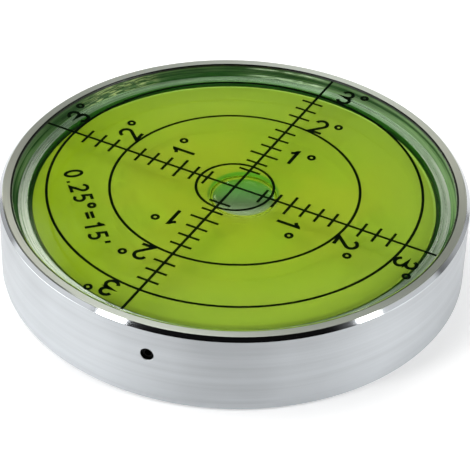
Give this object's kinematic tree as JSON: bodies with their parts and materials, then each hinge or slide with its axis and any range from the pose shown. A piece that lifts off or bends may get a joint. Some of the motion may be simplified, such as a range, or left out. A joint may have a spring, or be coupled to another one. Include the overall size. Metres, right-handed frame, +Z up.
{
  "type": "bullseye level",
  "caption": "Round bubble level: a turned metal cup with green liquid and a bubble under a clear lens printed with a graduated cross and degree rings.",
  "frame": {"origin": "centre of the flat base that the level stands on", "axes": "+Z up along the turned axis; +X and +Y along two arms of the scale's cross; the fill port is 81.65 degrees clockwise from +X, seen from above"},
  "size_m": [0.064, 0.064, 0.012],
  "materials": {
    "turned_metal": "satin",
    "clear_lens": "polished",
    "bond": "gloss",
    "white_disc": "matte",
    "green_liquid": "gloss",
    "black_ink": "matte",
    "seal_rubber": "matte",
    "black_steel": "satin"
  },
  "bodies": {
    "root": {"case": "turned_metal", "lens": "clear_lens", "lens_bond": "bond", "backing_disc": "white_disc", "liquid": "green_liquid", "scale_markings": "black_ink", "port_seal": "seal_rubber", "port_screw": "black_steel"}
  },
  "joints": []
}
